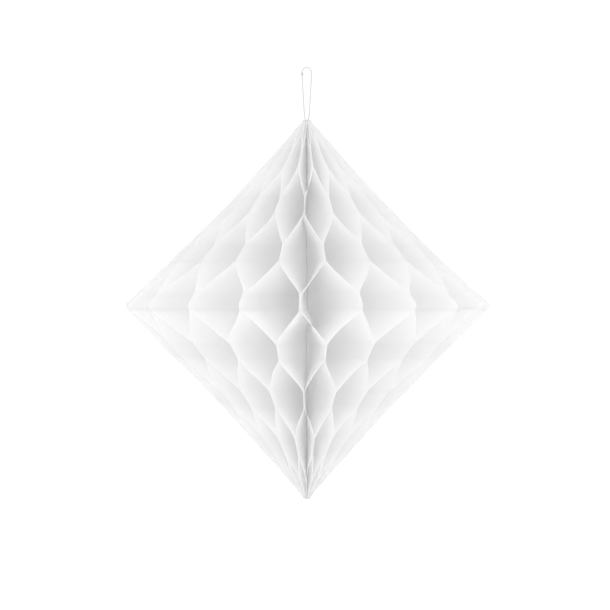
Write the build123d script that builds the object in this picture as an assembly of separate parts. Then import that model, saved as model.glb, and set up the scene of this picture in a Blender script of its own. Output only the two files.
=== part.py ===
from build123d import *
from functools import cache
import math
import os

# Hanging tissue-paper honeycomb diamond, opened right round.
# Millimetres, +Z up, spine on the Z axis.  The front glue column faces -Y and the
# two card covers meet back to back at +Y.  Heights are measured from the waist, the
# widest level; on export everything moves down by HANG_HEIGHT, which puts the origin
# at the inside crown of the hanging loop.

# ---- tissue leaves ----
N_LEAVES = 40
LEAF_PITCH = 360.0 / N_LEAVES  # angle between neighbouring glue columns, degrees
FRONT_ANGLE = -90.0            # direction of glue column N_LEAVES / 2
LEAF_T = 0.08
GLUE_GAP = 0.03                # leaf face to the middle plane of its glue column
ROW_PITCH = 25.6               # height between neighbouring glue rows
ROW_ZERO = 1.6                 # height of row 0, the one nearest the waist
ROWS = range(-4, 5)
GLUE_H = 8.5                   # height of one glue strip
SPAN_STRAIGHT = 0.84           # straight share of a free span; the rest is S-shaped
SPINE_R = 1.25                 # inner edge of the leaves
NOTCH_R = 1.9                  # inner edge at the top tip
NOTCH_Z0 = 96.0                # the inner edge starts to step back here
NOTCH_Z1 = 98.4                # and has reached NOTCH_R here

# Leaf outline: (height, radius), straight between the points
OUTLINE = [
    (-105.5, 1.85), (-103.6, 3.1), (-100.5, 5.5), (-95.1, 10.3), (-87.0, 17.3),
    (-78.8, 24.8), (-65.0, 37.2), (-51.6, 49.5), (-38.0, 63.0), (-24.5, 76.2),
    (-12.0, 88.4), (-3.0, 97.4), (0.0, 99.8), (2.6, 97.0), (8.2, 90.6),
    (19.0, 78.9), (29.9, 67.8), (43.5, 54.0), (57.1, 41.0), (70.0, 29.0),
    (84.2, 16.0), (90.5, 10.6), (95.1, 6.8), (98.4, 3.6), (100.6, 2.05),
]
BOTTOM_Z = OUTLINE[0][0]
TOP_Z = OUTLINE[-1][0]

# Cross-section levels of a leaf
SPAN_STEPS = 4                 # parts each free span is divided into
END_SPACING = 0.8              # least distance of an exact level from either tip
SOFT_SPACING = 1.6             # least distance of an optional level from any other

# ---- card covers and the adhesive tabs between them ----
COVER_T = 0.30
COVER_GAP = 0.16               # between the two cards
COVER_R0 = 4.8                 # the card's straight edge, from the spine's axis
COVER_INSET = 0.9              # slanted edges lie this far inside the leaf outline
COVER_MIN_W = 0.4              # levels where the card is narrower get no corner
END_LEAF_STEP_R = 4.4          # the end leaves step outwards here to pass the card
END_LEAF_MIN_W = 0.6           # they step only where this much leaf lies beyond
TAB_T = 0.13
TAB_W = 10.0
TAB_H = 7.0
TAB_Y = 58.0
UPPER_TAB_Z = 24.0
LOWER_TAB_Z = -26.0

# ---- spine cord, knots, tie ring and hanging loop (_T is a thread radius) ----
LINK_GAP = 0.05                # clearance where two threads hook together
FRONT_PIVOT_Z = 99.3           # top of the cord's eye, middle of its thread
CORD_R = 0.45
CORD_Z0 = -106.1               # bottom end of the cord
EYE_R = 0.85                   # to the middle of the eye's thread
EYE_T = 0.25
EYE_Z = FRONT_PIVOT_Z - EYE_R

TIE_R = 0.85                   # round ends of the tie ring, to the thread's middle
TIE_T = 0.25
TIE_STRAIGHT = 0.30            # straight length between its round ends
TIE_LOW_Z = FRONT_PIVOT_Z - (EYE_T + TIE_T + LINK_GAP)
TIE_C0 = TIE_LOW_Z + TIE_R     # centre of the lower round end
TIE_C1 = TIE_C0 + TIE_STRAIGHT  # centre of the upper round end
SIDE_PIVOT_Z = TIE_C1 + TIE_R  # top of the ring, where the hanging loop wraps it

LOOP_T = 0.32
LOOP_BEND = TIE_T + LOOP_T + LINK_GAP  # bend radius of the loop under the ring
LOOP_BEND_ANGLES = (30, 60, 90)        # degrees up from the bend's lowest point
LOOP_TOP_Z = 129.4
HANG_HEIGHT = LOOP_TOP_Z - LOOP_T

KNOT_R = 1.12                  # knot at the bottom of the cord
KNOT_Z = -105.0
KNOT_BORE = CORD_R + 0.02
LOOP_KNOT_R = 0.85             # knot on the loop's -X strand
LOOP_KNOT_X = 2.55             # distance from the axis
LOOP_KNOT_Z = 125.9
LOOP_KNOT_BORE = LOOP_T + 0.08
BORE_REACH = 4.0               # bore cutter, half length; runs past both knots

# One strand of the loop, bend to crown: (distance from the axis, height)
LOOP_STRAND = [
    (1.16, SIDE_PIVOT_Z + 1.6), (1.60, SIDE_PIVOT_Z + 7.5),
    (2.10, SIDE_PIVOT_Z + 16.0), (2.50, LOOP_KNOT_Z - 1.4),
    (LOOP_KNOT_X, LOOP_KNOT_Z), (2.52, LOOP_KNOT_Z + 1.2),
    (1.75, LOOP_TOP_Z - 0.75),
]


def outer_radius(z):
    """Radius of the leaf outline at height z, between its two tips."""
    for (z0, r0), (z1, r1) in zip(OUTLINE, OUTLINE[1:]):
        if z0 <= z <= z1:
            return r0 + (r1 - r0) * (z - z0) / (z1 - z0)
    raise ValueError(f"height {z} is outside the leaf outline")


def clamp(value):
    return min(max(value, 0.0), 1.0)


def inner_radius(z):
    """Radius of the leaf's inner edge at height z."""
    return SPINE_R + (NOTCH_R - SPINE_R) * clamp((z - NOTCH_Z0) / (NOTCH_Z1 - NOTCH_Z0))


def free_span(row):
    """Heights between which a leaf is free, from this glue row to the next one up."""
    row_z = ROW_ZERO + ROW_PITCH * row
    next_z = ROW_ZERO + ROW_PITCH * (row + 1)
    return row_z + GLUE_H / 2, next_z - GLUE_H / 2


def lean(z, even_side):
    """0 where the leaf lies on its first glue column, 1 where it lies on its second.

    Columns are counted anticlockwise seen from above.  even_side says which of the
    two (0 or 1) is even-numbered; that one holds the even rows.
    """
    row = math.floor((z - ROW_ZERO) / ROW_PITCH)
    start_z, end_z = free_span(row)
    t = clamp((z - start_z) / (end_z - start_z))
    smooth = t * t * (3.0 - 2.0 * t)
    t = SPAN_STRAIGHT * t + (1 - SPAN_STRAIGHT) * smooth
    row_side = even_side if row % 2 == 0 else 1 - even_side
    return row_side + (1 - 2 * row_side) * t


@cache
def levels():
    """Heights of the leaf's cross-sections.

    Tips, waist, notch and glue strip edges are exact.  Outline points and points
    along the free spans are added where there is room.
    """
    exact = [0.0, NOTCH_Z0, NOTCH_Z1]
    soft = [z for z, _ in OUTLINE]
    for row in ROWS:
        start_z, end_z = free_span(row)
        exact += [ROW_ZERO + ROW_PITCH * row - GLUE_H / 2, start_z]
        soft += [start_z + (end_z - start_z) * i / SPAN_STEPS for i in range(1, SPAN_STEPS)]
    exact = [z for z in exact if BOTTOM_Z + END_SPACING < z < TOP_Z - END_SPACING]
    chosen = sorted({round(z, 4) for z in exact + [BOTTOM_Z, TOP_Z]})
    for z in sorted(soft):
        if BOTTOM_Z < z < TOP_Z and min(abs(z - other) for other in chosen) > SOFT_SPACING:
            chosen.append(round(z, 4))
    return sorted(chosen)


def leaf_midline(z, even_side, card_side):
    """Points (x, y) along the middle of the sheet at height z, spine outwards."""
    pitch = math.radians(LEAF_PITCH)
    glue_offset = LEAF_T / 2 + GLUE_GAP
    card_offset = COVER_GAP / 2 + COVER_T + glue_offset
    inner, outer = inner_radius(z), outer_radius(z)
    steps = card_side is not None and outer > END_LEAF_STEP_R + END_LEAF_MIN_W
    if card_side is None:
        radii = [inner, outer]
    elif steps:
        radii = [inner, END_LEAF_STEP_R, outer]
    else:
        radii = [inner, (inner + outer) / 2, outer]

    share = lean(z, even_side)
    points = []
    for i, r in enumerate(radii):
        offsets = [glue_offset, glue_offset]
        if steps and i > 0:
            offsets[card_side] = card_offset
        first = math.asin(offsets[0] / r)
        second = pitch - math.asin(offsets[1] / r)
        angle = first + share * (second - first)
        points.append((r * math.cos(angle), r * math.sin(angle)))
    return points


def leaf_section(z, even_side, card_side):
    """Closed outline of the sheet at height z: clockwise face out, other face back."""
    middle = leaf_midline(z, even_side, card_side)
    clockwise, anticlockwise = [], []
    for i, (x, y) in enumerate(middle):
        before, after = middle[max(i - 1, 0)], middle[min(i + 1, len(middle) - 1)]
        dx, dy = after[0] - before[0], after[1] - before[1]
        length = math.hypot(dx, dy)
        normal_x, normal_y = -dy / length * LEAF_T / 2, dx / length * LEAF_T / 2
        anticlockwise.append((x + normal_x, y + normal_y, z))
        clockwise.append((x - normal_x, y - normal_y, z))
    return clockwise + anticlockwise[::-1]


def polygon(points):
    return Face(Wire.make_polygon([Vector(*point) for point in points], close=True))


@cache
def leaf(even_side, card_side):
    """One leaf between the glue columns at angle 0 and LEAF_PITCH.

    card_side is None, or the column (0 or 1) at which the leaf lies on a cover.
    """
    sections = [leaf_section(z, even_side, card_side) for z in levels()]
    count = len(sections[0])
    faces = []
    for low, high in zip(sections, sections[1:]):
        for i in range(count):
            j = (i + 1) % count
            # both faces of the sheet are split along the same diagonals
            if i < count // 2:
                faces.append(polygon([low[i], low[j], high[j]]))
                faces.append(polygon([low[i], high[j], high[i]]))
            else:
                faces.append(polygon([low[i], low[j], high[i]]))
                faces.append(polygon([low[j], high[j], high[i]]))
    faces += [polygon(sections[0][::-1]), polygon(sections[-1])]
    return Solid(Shell(faces))


def placed_leaf(number):
    """Leaf 1 starts at the +Y column; the numbers run anticlockwise from above."""
    column = number - 1
    card_side = {1: 0, N_LEAVES: 1}.get(number)
    angle = FRONT_ANGLE + (column - N_LEAVES // 2) * LEAF_PITCH
    return leaf(column % 2, card_side).rotate(Axis.Z, angle)


def cover_width(z):
    """Width of the card at height z, outwards from its straight edge."""
    return outer_radius(z) - COVER_INSET - COVER_R0


def cover_tip(leaf_tip_z):
    """Height where the card narrows to nothing, between the waist and a leaf tip."""
    inside, outside = 0.0, leaf_tip_z
    for _ in range(60):
        middle = (inside + outside) / 2
        if cover_width(middle) > 0:
            inside = middle
        else:
            outside = middle
    return (inside + outside) / 2


def cover(x_start):
    """Half-diamond card in the YZ plane, from x_start towards +X."""
    points = [(x_start, COVER_R0, cover_tip(BOTTOM_Z))]
    points += [(x_start, outer_radius(z) - COVER_INSET, z)
               for z in levels() if cover_width(z) > COVER_MIN_W]
    points += [(x_start, COVER_R0, cover_tip(TOP_Z))]
    return Solid.extrude(polygon(points), Vector(COVER_T, 0, 0))


def tab(z):
    """Adhesive tab between the cards, against the one on the +X side."""
    return Box(TAB_T, TAB_W, TAB_H).moved(Location(((COVER_GAP - TAB_T) / 2, TAB_Y, z)))


def spine_cord():
    """Straight cord with an eye in the XZ plane at its top."""
    shaft = Solid.make_cylinder(CORD_R, EYE_Z - EYE_R - CORD_Z0,
                                Plane(origin=(0, 0, CORD_Z0)))
    eye = Solid.make_torus(EYE_R, EYE_T, Plane(origin=(0, 0, EYE_Z), z_dir=(0, 1, 0)))
    return (Part() + shaft + eye).solid()


def knot(x, z, ball_r, bore_r):
    """Ball with a vertical bore for the thread."""
    ball = Solid.make_sphere(ball_r, Plane(origin=(x, 0, z)), -90, 90, 360)
    bore = Solid.make_cylinder(bore_r, 2 * BORE_REACH, Plane(origin=(x, 0, z - BORE_REACH)))
    return (Part() + ball - bore).solid()


def tie_ring():
    """Closed link in the YZ plane: two half circles joined by two straights."""
    lower_back, lower_front = Vector(0, TIE_R, TIE_C0), Vector(0, -TIE_R, TIE_C0)
    upper_back, upper_front = Vector(0, TIE_R, TIE_C1), Vector(0, -TIE_R, TIE_C1)
    path = Wire([
        Edge.make_line(upper_front, lower_front),
        Edge.make_three_point_arc(lower_front, Vector(0, 0, TIE_C0 - TIE_R), lower_back),
        Edge.make_line(lower_back, upper_back),
        Edge.make_three_point_arc(upper_back, Vector(0, 0, TIE_C1 + TIE_R), upper_front),
    ])
    profile = Wire.make_circle(TIE_T, Plane(origin=upper_front, z_dir=Vector(0, 0, -1)))
    return Solid.sweep(Face(profile), path=path)


def hanging_loop():
    """Closed thread in the XZ plane, hooked under the top of the tie ring."""
    half = [(LOOP_BEND * math.sin(math.radians(angle)),
             SIDE_PIVOT_Z - LOOP_BEND * math.cos(math.radians(angle)))
            for angle in LOOP_BEND_ANGLES]
    half += LOOP_STRAND
    points = [(0, SIDE_PIVOT_Z - LOOP_BEND)] + half + [(0, LOOP_TOP_Z)]
    points += [(-x, z) for x, z in reversed(half)]
    path = Edge.make_spline([Vector(x, 0, z) for x, z in points], periodic=True)
    profile = Wire.make_circle(LOOP_T, Plane(origin=path @ 0, z_dir=path % 0))
    return Solid.sweep(Face(profile), path=path)


parts = {f"leaf_{number:02d}": placed_leaf(number) for number in range(1, N_LEAVES + 1)}
parts["cover_a"] = cover(-COVER_GAP / 2 - COVER_T)
parts["cover_b"] = cover(COVER_GAP / 2)
parts["upper_tab"] = tab(UPPER_TAB_Z)
parts["lower_tab"] = tab(LOWER_TAB_Z)
parts["spine_cord"] = spine_cord()
parts["bottom_knot"] = knot(0, KNOT_Z, KNOT_R, KNOT_BORE)
parts["tie_ring"] = tie_ring()
parts["hanging_loop"] = hanging_loop()
parts["loop_knot"] = knot(-LOOP_KNOT_X, LOOP_KNOT_Z, LOOP_KNOT_R, LOOP_KNOT_BORE)

os.makedirs("parts", exist_ok=True)
for name, shape in parts.items():
    hung = shape.moved(Location((0, 0, -HANG_HEIGHT)))
    export_step(hung, os.path.join("parts", name + ".step"))
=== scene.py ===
"""A white honeycomb tissue ornament, hanging by a thread loop.

Forty tissue leaves fan round a vertical cord, glued to each other in staggered rows. The front
faces -Y, right is +X, and the two cards lie at the back plane, on +Y. The top of the loop hangs
from the origin. Sizes are millimetres, and heights are measured from the waist; make_mesh moves
them down by HANG and turns them into metres.
"""
import bpy
import math
import numpy as np
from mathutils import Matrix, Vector


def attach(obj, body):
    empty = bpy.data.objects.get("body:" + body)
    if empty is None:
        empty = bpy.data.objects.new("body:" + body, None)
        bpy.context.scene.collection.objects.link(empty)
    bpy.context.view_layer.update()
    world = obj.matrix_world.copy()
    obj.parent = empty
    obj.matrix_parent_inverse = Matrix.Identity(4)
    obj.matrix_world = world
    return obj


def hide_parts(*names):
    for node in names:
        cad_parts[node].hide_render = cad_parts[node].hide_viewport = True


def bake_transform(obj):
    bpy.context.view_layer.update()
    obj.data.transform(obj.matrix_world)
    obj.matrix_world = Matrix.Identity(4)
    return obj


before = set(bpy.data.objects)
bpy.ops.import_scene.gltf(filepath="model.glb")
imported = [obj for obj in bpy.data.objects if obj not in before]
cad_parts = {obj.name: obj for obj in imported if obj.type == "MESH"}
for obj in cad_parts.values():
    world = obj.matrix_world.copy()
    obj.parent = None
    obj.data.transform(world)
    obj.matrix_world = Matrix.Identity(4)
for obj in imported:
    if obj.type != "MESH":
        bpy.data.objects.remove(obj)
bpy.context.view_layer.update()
scene = bpy.context.scene

# ---- sizes -----------------------------------------------------------------
MM = 0.001
LOOP_TOP = 129.4                  # centre line of the hanging thread at its top
LOOP_THICK = 0.32                 # radius of the hanging thread
HANG = LOOP_TOP - LOOP_THICK      # underside of the thread at its top

LEAVES = 40
FRONT_COLUMN = LEAVES // 2
PITCH = math.radians(360.0 / LEAVES)
ROW_PITCH, ROW_ZERO, GLUE_HEIGHT = 25.6, 1.6, 8.5
HALF_THICK = 0.04                 # of a leaf
GLUE_GAP = 0.07                   # from a glue column's middle to a leaf's middle
CARD_FACE = 0.41                  # inside face of a card, from the back plane
CARD_RADIUS = 4.8                 # straight edge of a card, from the axis
SPINE_RADIUS, NOTCH_RADIUS = 1.25, 1.9
NOTCH_HEIGHTS = (96.0, 98.4)      # the inner edge steps from spine to notch radius here

HEIGHT_STEPS = round(206.1 / 1.8)  # leaf height over the wanted step
RADIAL_STEPS = 30
CARD_STEPS = 6                    # of the radial steps, those inside the cards' straight edge

# cut edge of a leaf: (height, radius)
OUTLINE = np.array([
    (-105.5, 1.85), (-103.6, 3.1), (-100.5, 5.5), (-95.1, 10.3), (-87.0, 17.3),
    (-78.8, 24.8), (-65.0, 37.2), (-51.6, 49.5), (-38.0, 63.0), (-24.5, 76.2),
    (-12.0, 88.4), (-3.0, 97.4), (0.0, 99.8), (2.6, 97.0), (8.2, 90.6),
    (19.0, 78.9), (29.9, 67.8), (43.5, 54.0), (57.1, 41.0), (70.0, 29.0),
    (84.2, 16.0), (90.5, 10.6), (95.1, 6.8), (98.4, 3.6), (100.6, 2.05),
])

# sideways bow of the leaves behind the front column: (height, distance to the right)
FRONT_SWAY = np.array([
    (-70, 0), (-47, -0.8), (-36, 0.6), (-24, 2.2), (-14, 0.6), (-9, 2.8), (6, -1.4),
    (14, 1.4), (22, 2.6), (30, 1.0), (46, -2.4), (60, 0.4), (75, 0),
])

# eye of the cord, tie ring and hanging loop, linked one in the next (THICK is a thread's radius)
EYE_TOP, EYE_RADIUS, EYE_THICK = 99.3, 0.85, 0.25
TIE_RADIUS, TIE_THICK, TIE_STRAIGHT = 0.85, 0.25, 0.30
LINK_GAP = 0.05
TIE_LOW_CENTRE = EYE_TOP - (EYE_THICK + TIE_THICK + LINK_GAP) + TIE_RADIUS
TIE_HIGH_CENTRE = TIE_LOW_CENTRE + TIE_STRAIGHT
TIE_TOP = TIE_HIGH_CENTRE + TIE_RADIUS
LOOP_BEND = TIE_THICK + LOOP_THICK + LINK_GAP
KNOT_X, KNOT_Z = 2.55, 125.9      # widest place of the loop; its knot is on the left side
CORD_BOTTOM, CORD_THICK = -106.05, 0.44
BOTTOM_KNOT_Z = -105.0
FLOOR_Z, FLOOR_HALF = -181.3, 6000


# ---- smooth steps and repeatable noise -------------------------------------
def rise(value, start, length):
    """0 up to start, then straight up to 1 over length."""
    return np.clip((value - start) / length, 0, 1)


def smooth(t):
    t = np.clip(t, 0, 1)
    return t * t * (3 - 2 * t)


NOISE_TABLE = np.random.RandomState(7).uniform(-1, 1, 8192)


def noise3(x, y, z, seed):
    """Smooth value noise in -1..1."""
    x, y, z = np.broadcast_arrays(*(np.asarray(c, float) for c in (x, y, z)))
    xi, yi, zi = (np.floor(c).astype(int) for c in (x, y, z))
    xf, yf, zf = smooth(x - xi), smooth(y - yi), smooth(z - zi)
    total = np.zeros(x.shape)
    for dx in (0, 1):
        for dy in (0, 1):
            for dz in (0, 1):
                cell = ((xi + dx) * 73856093 ^ (yi + dy) * 19349663
                        ^ (zi + dz) * 83492791 ^ seed * 2654435) % 8192
                weight = (xf if dx else 1 - xf) * (yf if dy else 1 - yf) * (zf if dz else 1 - zf)
                total += NOISE_TABLE[cell] * weight
    return total


def make_mesh(name, verts, faces, smooth_faces=None):
    """An object from millimetres above the waist; the first smooth_faces (or all) are smooth."""
    verts = (np.asarray(verts, float) - (0, 0, HANG)) * MM
    mesh = bpy.data.meshes.new(name)
    mesh.from_pydata([tuple(v) for v in verts], [], [tuple(int(q) for q in f) for f in faces])
    mesh.update()
    count = len(mesh.polygons)
    if smooth_faces is None:
        smooth_faces = count
    mesh.polygons.foreach_set("use_smooth", [k < smooth_faces for k in range(count)])
    ob = bpy.data.objects.new(name, mesh)
    scene.collection.objects.link(ob)
    return ob


# ---- materials -------------------------------------------------------------
def add_node(tree, kind, inputs, **settings):
    """A shader node; an input given as a socket is linked, any other is set."""
    node = tree.nodes.new("ShaderNode" + kind)
    for key, value in settings.items():
        setattr(node, key, value)
    for key, value in inputs.items():
        if isinstance(value, bpy.types.NodeSocket):
            tree.links.new(value, node.inputs[key])
        else:
            node.inputs[key].default_value = value
    return node


def new_material(name):
    material = bpy.data.materials.new(name)
    material.use_nodes = True
    material.node_tree.nodes.clear()
    return material, material.node_tree


def object_coords(tree):
    return add_node(tree, "TexCoord", {}).outputs["Object"]


def noise_texture(tree, vector, scale, detail, roughness=0.5):
    return add_node(tree, "TexNoise", {
        "Vector": vector, "Scale": scale, "Detail": detail, "Roughness": roughness,
    }).outputs["Fac"]


def mix_float(tree, factor, a, b):
    return add_node(tree, "Mix", {"Factor": factor, "A": a, "B": b},
                    data_type="FLOAT").outputs["Result"]


def colour_ramp(tree, factor, dark, light, low=0.0, high=1.0):
    node = add_node(tree, "ValToRGB", {"Fac": factor})
    for element, place, colour in zip(node.color_ramp.elements, (low, high), (dark, light)):
        element.position = place
        element.color = (*colour, 1)
    return node.outputs["Color"]


def bump(tree, height, strength, distance, **normal):
    return add_node(tree, "Bump", {
        "Height": height, "Strength": strength, "Distance": distance, **normal,
    }).outputs["Normal"]


def attribute(tree, name):
    return add_node(tree, "Attribute", {}, attribute_name=name).outputs["Fac"]


def multiply_add(tree, value, factor, addend):
    return add_node(tree, "Math", {0: value, 1: factor, 2: addend},
                    operation="MULTIPLY_ADD").outputs["Value"]


def principled(tree, inputs):
    return add_node(tree, "BsdfPrincipled", inputs).outputs["BSDF"]


def set_surface(tree, shader):
    add_node(tree, "OutputMaterial", {"Surface": shader})


def camera_ray_mix(tree, lighting, seen):
    """One strength for lighting the scene, another for what the camera sees directly."""
    is_camera = add_node(tree, "LightPath", {}).outputs["Is Camera Ray"]
    return mix_float(tree, is_camera, lighting, seen)


def tissue_material():
    material, tree = new_material("tissue_paper")
    coords = object_coords(tree)
    cloud = noise_texture(tree, coords, scale=55, detail=5, roughness=0.6)
    upright = add_node(tree, "Mapping", {"Vector": coords, "Scale": (1, 1, 0.28)})
    fibre = noise_texture(tree, upright.outputs["Vector"], scale=620, detail=6, roughness=0.7)
    colour = colour_ramp(tree, mix_float(tree, 0.45, cloud, fibre),
                         dark=(0.95, 0.95, 0.95), light=(0.972, 0.972, 0.972),
                         low=0.28, high=0.72)
    grain = bump(tree, fibre, strength=0.22, distance=0.00025)
    soft = noise_texture(tree, coords, scale=120, detail=3)
    crease = bump(tree, soft, strength=0.30, distance=0.0012, Normal=grain)
    # painted light: the tissue glows a little everywhere, most of all at the cut edge (painted
    # highlight) and where the leaves crowd together at the spine (painted light over the shade
    # there)
    glow = multiply_add(tree, attribute(tree, "spine_fill_glow"), factor=0.022, addend=0.052)
    glow = multiply_add(tree, attribute(tree, "cut_edge_glow"), factor=0.045, addend=glow)
    paper = principled(tree, {
        "Base Color": colour, "Roughness": 0.85, "Specular IOR Level": 0.15, "Normal": crease,
        "Emission Color": (1, 1, 1, 1), "Emission Strength": glow,
    })
    through = add_node(tree, "BsdfTranslucent", {"Color": colour, "Normal": crease})
    both = add_node(tree, "MixShader", {"Fac": 0.70, 1: paper, 2: through.outputs["BSDF"]})
    set_surface(tree, both.outputs["Shader"])
    return material


def card_material():
    material, tree = new_material("white_card")
    coords = object_coords(tree)
    fine = noise_texture(tree, coords, scale=900, detail=5)
    broad = noise_texture(tree, coords, scale=70, detail=4)
    colour = colour_ramp(tree, mix_float(tree, 0.5, fine, broad),
                         dark=(0.90, 0.90, 0.895), light=(0.96, 0.96, 0.955), low=0.3, high=0.7)
    set_surface(tree, principled(tree, {
        "Base Color": colour, "Roughness": 0.62,
        "Normal": bump(tree, fine, strength=0.25, distance=0.0002),
    }))
    return material


def thread_material(name, dark, light):
    material, tree = new_material(name)
    fibre = noise_texture(tree, object_coords(tree), scale=2600, detail=4)
    set_surface(tree, principled(tree, {
        "Base Color": colour_ramp(tree, fibre, dark, light, low=0.3, high=0.7),
        "Roughness": 0.8, "Sheen Weight": 0.3,
        "Normal": bump(tree, fibre, strength=0.4, distance=0.0001),
    }))
    return material


def adhesive_material():
    material, tree = new_material("adhesive_tab")
    mottle = noise_texture(tree, object_coords(tree), scale=800, detail=3)
    colour = colour_ramp(tree, mottle, dark=(0.74, 0.73, 0.68), light=(0.86, 0.85, 0.80))
    set_surface(tree, principled(tree, {"Base Color": colour, "Roughness": 0.28}))
    return material


def floor_material():
    material, tree = new_material("pale_floor")
    diffuse = add_node(tree, "BsdfDiffuse", {"Color": (0.9, 0.9, 0.9, 1)})
    glow = add_node(tree, "Emission", {
        "Color": (1, 1, 1, 1), "Strength": camera_ray_mix(tree, lighting=0.16, seen=0.75)})
    both = add_node(tree, "AddShader", {0: diffuse.outputs[0], 1: glow.outputs[0]})
    set_surface(tree, both.outputs[0])
    return material


TISSUE = tissue_material()
CARD = card_material()
CORD = thread_material("spine_cord_cotton", dark=(0.93, 0.93, 0.925), light=(0.98, 0.98, 0.975))
THREAD = thread_material("hanging_thread", dark=(0.60, 0.60, 0.595), light=(0.76, 0.76, 0.755))
ADHESIVE = adhesive_material()


# ---- leaves ----------------------------------------------------------------
def leaf_grid():
    """Height, radius, inner radius and cut-edge radius of each grid point of a leaf.

    The radial stations are even as far as the straight edge of the cards, where one station
    always stands so that no face cuts their corner when folded, then closer near the cut edge.
    """
    low, high = OUTLINE[0, 0], OUTLINE[-1, 0]
    heights = np.arange(low, high + 1e-6, (high - low) / HEIGHT_STEPS)
    height, step = np.meshgrid(heights, np.arange(RADIAL_STEPS + 1), indexing="ij")
    rim = np.interp(height, *OUTLINE.T)
    inner = np.interp(height, NOTCH_HEIGHTS, (SPINE_RADIUS, NOTCH_RADIUS))
    card = np.minimum(CARD_RADIUS - 0.1, (inner + rim) / 2)
    outward = 0.5 - 0.5 * np.cos(math.pi * rise(step, CARD_STEPS, RADIAL_STEPS - CARD_STEPS))
    radius = np.where(step <= CARD_STEPS,
                      inner + (card - inner) * step / CARD_STEPS,
                      card + (rim - card) * outward)
    return height, radius, inner, rim


def lean(height, even_side):
    """0 on the left glue column, 1 on the right one; flat at each glue strip."""
    row = np.floor((height - ROW_ZERO) / ROW_PITCH)
    strip_top = ROW_ZERO + ROW_PITCH * row + GLUE_HEIGHT / 2
    t = rise(height, strip_top, ROW_PITCH - GLUE_HEIGHT)
    t = 0.84 * t + 0.16 * smooth(t)
    low = np.where(np.mod(row, 2) == 0, even_side, 1 - even_side)
    return low + (1 - 2 * low) * t


def column_angle(j):
    return -math.pi / 2 + (j - FRONT_COLUMN) * PITCH


def column_shift(j, height, radius, rim):
    """Turn of glue column j off its even spacing, and its bow between spine and cut edge."""
    # none for the columns on the cards, most at the front
    window = max(1 - abs(j - LEAVES / 2) / (LEAVES / 2), 0) ** 0.4
    offset = 0.085 * PITCH * noise3(j * 1.7, height / 46.0, 0.2, seed=31) * rise(radius, 1.5, 12)
    front = math.exp(-((j - 20.5) / 4.5) ** 2)
    sway = 2.0 * noise3(j * 0.13, height / 21.0, 0.4, seed=37) * (1 - front)
    sway = sway + front * np.interp(height, *FRONT_SWAY.T)
    reach = np.clip((radius - 2) / np.maximum(rim - 2, 1), 0, 1)
    bow = smooth((radius - 2) / 12) * (1 - smooth(reach)) * rise(rim, 6, 26)
    return window * (offset + sway * bow / np.maximum(radius, 6))


def column_lift(j, height, radius):
    """How far glue column j stands up or down."""
    fade = (1 - rise(np.abs(height), 0, 96.0)) ** 0.5
    return 1.1 * noise3(j * 2.3, height / 60.0, radius / 90.0, seed=41) * fade


def column_gap(radius, on_card):
    """Distance of a leaf from its glue column, or from the back plane on a card."""
    if not on_card:
        return GLUE_GAP
    return GLUE_GAP + (CARD_FACE + HALF_THICK - GLUE_GAP) * rise(radius, 1.6, 2.6)


def leaf_faces(rows, columns):
    """Quads of the two sides, then the four edge strips; also how many are on the sides."""
    count = rows * columns
    grid = np.arange(count).reshape(rows, columns)
    a, b, c, d = grid[:-1, :-1], grid[:-1, 1:], grid[1:, 1:], grid[1:, :-1]
    quads = [np.stack([a, d, c, b], -1).reshape(-1, 4),
             np.stack([a, b, c, d], -1).reshape(-1, 4) + count]
    sides = sum(len(q) for q in quads)
    for line in (grid[:, -1], grid[::-1, 0], grid[0, :], grid[-1, ::-1]):
        start, end = line[:-1], line[1:]
        quads.append(np.stack([start, end, end + count, start + count], -1))
    return np.concatenate(quads), sides


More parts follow.
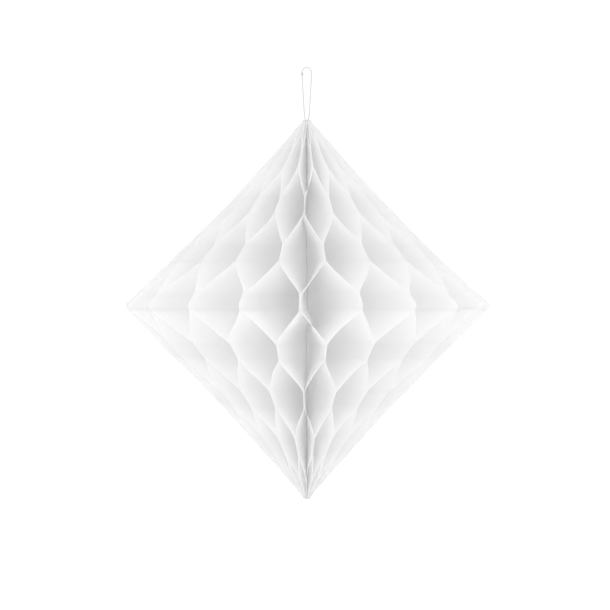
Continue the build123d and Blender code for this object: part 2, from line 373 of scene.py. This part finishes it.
def leaf_mesh(i):
    """Vertices, faces, number of side faces and the painted highlight glow along the cut edge of
    leaf i.
    """
    height, radius, inner, rim = leaf_grid()
    share = (radius - inner) / (rim - inner)
    # hand-cut waviness and small nicks in the cut edge, but none near the spine, where the
    # folded leaves lie too close together for it
    waves = (0.35 * noise3(height / 9.0, i * 3.7, 0.5, seed=11)
             + 0.18 * noise3(height / 3.1, i * 5.1, 2.5, seed=12))
    radius = radius + waves * share ** 2 * rise(rim - inner, 0, 12.0) * rise(radius, 6, 4)

    # soft slack in the free spans: shared by neighbours, so leaves never cross
    across = lean(height, even_side=(i - 1) % 2)
    free = 4 * across * (1 - across)
    slack = (0.10 * noise3(height / 24.0, radius / 38.0, i * 0.33, seed=21)
             + 0.045 * noise3(height / 7.0, radius / 11.0, i * 0.45, seed=22))
    across = across + slack * free * rise(radius, 6, 70.0)

    left = (column_angle(i - 1) + column_shift(i - 1, height, radius, rim)
            + np.arcsin(column_gap(radius, on_card=i == 1) / radius))
    right = (column_angle(i) + column_shift(i, height, radius, rim)
             - np.arcsin(column_gap(radius, on_card=i == LEAVES) / radius))
    angle = left + across * (right - left)
    lift = (column_lift(i - 1, height, radius) * (1 - across)
            + column_lift(i, height, radius) * across)
    z = height + lift * rise(radius, 3, 30) * (1 - 0.55 * share ** 6)

    # the cut edge is slightly fluffed, so it catches the light
    fluff = 1 + 1.1 * rise(share, 0.955, 0.045) ** 2 * np.clip(free * 1.5, 0, 1)
    thick = HALF_THICK * fluff
    x, y = radius * np.cos(angle), radius * np.sin(angle)
    # normal of the leaf's line within each level section
    dx, dy = np.gradient(x, axis=1), np.gradient(y, axis=1)
    length = np.hypot(dx, dy)
    normal_x, normal_y = -dy / length, dx / length
    verts = np.concatenate([
        np.stack([x + side * normal_x * thick, y + side * normal_y * thick, z], -1).reshape(-1, 3)
        for side in (1, -1)])

    faces, sides = leaf_faces(*height.shape)
    # painted highlight: glow mask for the cut edge, a band about 10 mm wide plus a thin line at
    # the rim, weaker where the leaf is narrow
    rim_highlight_band = 1 - smooth((rim - radius - 1.5) / 9.0)
    edge = 0.40 * rise(share, 0.985, 0.015) + 0.60 * rim_highlight_band
    edge = edge * np.maximum(rise(rim, 6, 24), 0.15)
    return verts, faces, sides, np.tile(edge.reshape(-1), 2)


def spine_fill_glow(verts):
    """Painted light over the shade between the crowded leaves: strongest at the spine near the
    waist, fading outward and towards both ends.
    """
    near = np.exp(-np.hypot(verts[:, 0], verts[:, 1]) / 26.0)
    return near * np.clip(1.1 - (verts[:, 2] / 80.0) ** 2, 0, 1)


def add_leaf(i):
    verts, faces, sides, edge = leaf_mesh(i)
    ob = make_mesh(f"tissue_leaf_{i:02d}", verts, faces, smooth_faces=sides)
    ob.data.materials.append(TISSUE)
    # painted light: per-vertex masks for the tissue's glow, at the spine and along the cut edge
    for name, values in (("spine_fill_glow", spine_fill_glow(verts)), ("cut_edge_glow", edge)):
        layer = ob.data.attributes.new(name, "FLOAT", "POINT")
        layer.data.foreach_set("value", values.astype(np.float32))
    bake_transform(ob)
    # the straight blend along Z gives way to the share worked out for each vertex
    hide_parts(f"leaf_{i:02d}")


for i in range(1, LEAVES + 1):
    add_leaf(i)


# ---- thread shapes: each is (vertices, faces) ------------------------------
def catmull(points, per, closed=False):
    """A Catmull-Rom curve through the points, with per steps between two of them."""
    points = [np.array(p, float) for p in points]
    count = len(points)
    curve = []
    for k in range(count if closed else count - 1):
        before = points[(k - 1) % count] if closed or k > 0 else points[0]
        start, end = points[k], points[(k + 1) % count]
        after = points[(k + 2) % count] if closed or k + 2 < count else points[-1]
        for s in range(per):
            t = s / per
            curve.append(0.5 * (2 * start + (end - before) * t
                                + (2 * before - 5 * start + 4 * end - after) * t * t
                                + (-before + 3 * start - 3 * end + after) * t ** 3))
    if not closed:
        curve.append(points[-1])
    return np.array(curve)


def resample_closed(path, step):
    """The closed path at even steps of about the given length."""
    ring = np.vstack([path, path[:1]])
    length = np.concatenate([[0], np.cumsum(np.linalg.norm(np.diff(ring, axis=0), axis=1))])
    count = max(8, int(round(length[-1] / step)))
    places = np.linspace(0, length[-1], count, endpoint=False)
    return np.stack([np.interp(places, length, ring[:, axis]) for axis in range(3)], 1)


def carried_normals(path, closed):
    """Two normals carried along the path, and the twist between its end and its start."""
    if closed:
        tangents = np.roll(path, -1, 0) - np.roll(path, 1, 0)
    else:
        tangents = np.gradient(path, axis=0)
    tangents /= np.linalg.norm(tangents, axis=1)[:, None]

    def squared(vector, tangent):
        vector = vector - tangent * (vector @ tangent)
        return vector / np.linalg.norm(vector)

    first = np.array([0, 1, 0.]) if abs(tangents[0][1]) < 0.9 else np.array([1, 0, 0.])
    normals = [squared(first, tangents[0])]
    for tangent in tangents[1:]:
        normals.append(squared(normals[-1], tangent))
    normals = np.array(normals)
    seconds = np.cross(tangents, normals)
    twist = 0.0
    if closed:
        last = squared(normals[-1], tangents[0])
        twist = math.atan2(last @ seconds[0], last @ normals[0])
    return normals, seconds, twist


def join_shapes(shapes):
    verts, faces, base = [], [], 0
    for shape_verts, shape_faces in shapes:
        verts.append(shape_verts)
        faces += [tuple(q + base for q in face) for face in shape_faces]
        base += len(shape_verts)
    return np.vstack(verts), faces


def tube(path, radius, closed=False, sides=8):
    normals, seconds, twist = carried_normals(path, closed)
    count = len(path)
    around = 2 * math.pi * np.arange(sides) / sides
    # the twist is spread along a closed path so that its ends meet
    angle = (around - twist * np.arange(count)[:, None] / count)[..., None]
    ring = np.cos(angle) * normals[:, None] + np.sin(angle) * seconds[:, None]
    verts = (path[:, None] + radius * ring).reshape(-1, 3)
    faces = []
    for k in range(count if closed else count - 1):
        here, after = k * sides, (k + 1) % count * sides
        for s in range(sides):
            s2 = (s + 1) % sides
            faces.append((here + s, here + s2, after + s2, after + s))
    if not closed:
        faces.append(tuple(range(sides))[::-1])
        faces.append(tuple((count - 1) * sides + s for s in range(sides)))
    return verts, faces


def plied(path, radius, turns_per_mm, plies=2, closed=False):
    """A twisted thread: plies wound round the path, about as thick as radius together."""
    normals, seconds, twist = carried_normals(path, closed)
    steps = np.linalg.norm(np.diff(path, axis=0), axis=1)
    length = np.concatenate([[0], np.cumsum(steps)])
    total = length[-1] + (np.linalg.norm(path[0] - path[-1]) if closed else 0)
    wind = 2 * math.pi * round(total * turns_per_mm) - twist
    ply_radius = radius * 0.53
    shapes = []
    for ply in range(plies):
        angle = (2 * math.pi * ply / plies + wind * length / total)[:, None]
        offset = np.cos(angle) * normals + np.sin(angle) * seconds
        shapes.append(tube(path + (radius - ply_radius) * offset, ply_radius, closed, sides=7))
    return join_shapes(shapes)


# ---- threads and knots -----------------------------------------------------
def add_thread(name, shape, material, body, node):
    ob = make_mesh(name, *shape)
    ob.data.materials.append(material)
    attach(ob, body)
    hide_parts(node)


def hanging_loop():
    """Closed loop in the XZ plane, bent round the top of the tie ring."""
    bend = [(LOOP_BEND * math.sin(math.radians(degrees)),
             TIE_TOP - LOOP_BEND * math.cos(math.radians(degrees))) for degrees in (30, 60, 90)]
    # right side above the bend, going up: (x, height)
    side = [(1.16, TIE_TOP + 1.6), (1.60, TIE_TOP + 7.5), (2.10, TIE_TOP + 16.0),
            (2.50, KNOT_Z - 1.4), (KNOT_X, KNOT_Z), (2.52, KNOT_Z + 1.2),
            (1.75, LOOP_TOP - 0.75)]
    right = bend + side
    left = [(-x, z) for x, z in right[::-1]]
    ring = [(0, TIE_TOP - LOOP_BEND)] + right + [(0, LOOP_TOP)] + left
    path = resample_closed(catmull([(x, 0, z) for x, z in ring], per=24, closed=True), step=0.16)
    return plied(path, LOOP_THICK, turns_per_mm=0.42, closed=True)


def loop_knot():
    """The knot that closes the loop: three wraps round the strand, and a cut tail."""
    t = np.linspace(0, 1, 90)
    angle = 2 * math.pi * 3 * t
    wraps = np.stack([-KNOT_X + 0.56 * np.cos(angle), 0.56 * np.sin(angle),
                      KNOT_Z - 0.45 + 0.9 * t], 1)
    tail = catmull([(-KNOT_X + 0.5, 0.1, KNOT_Z - 0.35), (-KNOT_X + 0.55, 0.35, KNOT_Z - 0.62),
                    (-KNOT_X + 0.2, 0.62, KNOT_Z - 0.55)], per=8)
    return join_shapes([tube(wraps, 0.20), tube(tail, 0.15, sides=7)])


def tie_ring():
    """Closed link in the YZ plane."""
    link = []
    for centre, start in ((TIE_HIGH_CENTRE, 0), (TIE_LOW_CENTRE, math.pi)):
        link += [(0, TIE_RADIUS * math.cos(angle), centre + TIE_RADIUS * math.sin(angle))
                 for angle in np.linspace(start, start + math.pi, 25)]
    path = resample_closed(np.array(link), step=0.1)
    return plied(path, TIE_THICK, turns_per_mm=1.0, closed=True)


def spine_cord():
    """The cord along the axis, with an eye in the XZ plane on top."""
    eye_centre = EYE_TOP - EYE_RADIUS
    cord_top = eye_centre - EYE_RADIUS + 0.12
    cord = np.array([(0, 0, z) for z in np.linspace(CORD_BOTTOM, cord_top, 700)])
    eye = np.array([(EYE_RADIUS * math.cos(angle), 0, eye_centre + EYE_RADIUS * math.sin(angle))
                    for angle in np.linspace(0, 2 * math.pi, 60, endpoint=False)])
    return join_shapes([plied(cord, CORD_THICK, turns_per_mm=0.28, plies=3),
                        plied(eye, EYE_THICK, turns_per_mm=1.0, closed=True)])


def bottom_knot():
    """A pulled-tight trefoil round the cord."""
    t = np.linspace(0, 2 * math.pi, 140, endpoint=False)
    radius = 0.70 + 0.16 * np.cos(3 * t)
    path = np.stack([radius * np.cos(2 * t), radius * np.sin(2 * t),
                     BOTTOM_KNOT_Z + 0.55 * np.sin(3 * t)], 1)
    return tube(path, 0.25, closed=True, sides=9)


add_thread("hanging_thread", hanging_loop(), THREAD, "hanger", "hanging_loop")
add_thread("loop_knot_wraps", loop_knot(), THREAD, "hanger", "loop_knot")
add_thread("tie_ring_thread", tie_ring(), THREAD, "tie", "tie_ring")
add_thread("spine_cord_thread", spine_cord(), CORD, "spine", "spine_cord")
add_thread("bottom_knot_thread", bottom_knot(), CORD, "spine", "bottom_knot")

# ---- cards and tabs keep their loaded shapes -------------------------------
for name, material, slot in (
    ("cover_a", CARD, "card"), ("cover_b", CARD, "card"),
    ("upper_tab", ADHESIVE, "adhesive"), ("lower_tab", ADHESIVE, "adhesive"),
):
    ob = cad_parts[name]
    ob.data.materials.clear()
    ob.data.materials.append(material)


# ---- stage: plain pale floor, soft light (metres) --------------------------
WAIST = (0, 0, -HANG * MM)


def set_world():
    world = bpy.data.worlds.new("studio") if scene.world is None else scene.world
    scene.world = world
    world.use_nodes = True
    tree = world.node_tree
    background = next((n for n in tree.nodes if n.type == "BACKGROUND"), None)
    background = background or tree.nodes.new("ShaderNodeBackground")
    background.inputs["Color"].default_value = (1, 1, 1, 1)
    strength = camera_ray_mix(tree, lighting=1.0, seen=1.05)
    tree.links.new(strength, background.inputs["Strength"])


def add_floor():
    corners = [(x * FLOOR_HALF, y * FLOOR_HALF, FLOOR_Z)
               for x, y in ((-1, -1), (1, -1), (1, 1), (-1, 1))]
    floor = make_mesh("floor", corners, [(0, 1, 2, 3)], smooth_faces=0)
    floor.data.materials.append(floor_material())


def add_area_light(name, location, size, power):
    """A disk light that faces the waist."""
    light = bpy.data.lights.new(name, "AREA")
    light.shape = "DISK"
    light.size = size
    light.energy = power
    ob = bpy.data.objects.new(name, light)
    ob.location = location
    ob.rotation_euler = (Vector(WAIST) - Vector(location)).to_track_quat("-Z", "Y").to_euler()
    scene.collection.objects.link(ob)


def add_camera(distance, turn):
    """A level camera at waist height, turned to the right of the front."""
    camera = bpy.data.cameras.new("camera")
    camera.sensor_width = 36
    camera.lens = 119.194935
    camera.shift_x = -0.00295082
    camera.clip_start = 0.05
    camera.clip_end = 50
    ob = bpy.data.objects.new("camera", camera)
    ob.location = (distance * math.sin(turn), -distance * math.cos(turn), WAIST[2])
    ob.rotation_euler = (math.pi / 2, 0, turn)
    scene.collection.objects.link(ob)
    scene.camera = ob


set_world()
add_floor()
add_area_light("key", location=(-0.9, -1.5, 0.75), size=1.1, power=1.5)
add_area_light("fill", location=(1.3, -1.2, 0.1), size=1.2, power=1.0)
add_camera(distance=1.10, turn=math.radians(2.0))

scene.view_settings.view_transform = "Standard"
# light passes through many leaves before it leaves the tissue
scene.cycles.diffuse_bounces = 64
scene.cycles.transmission_bounces = 64
scene.cycles.max_bounces = 64
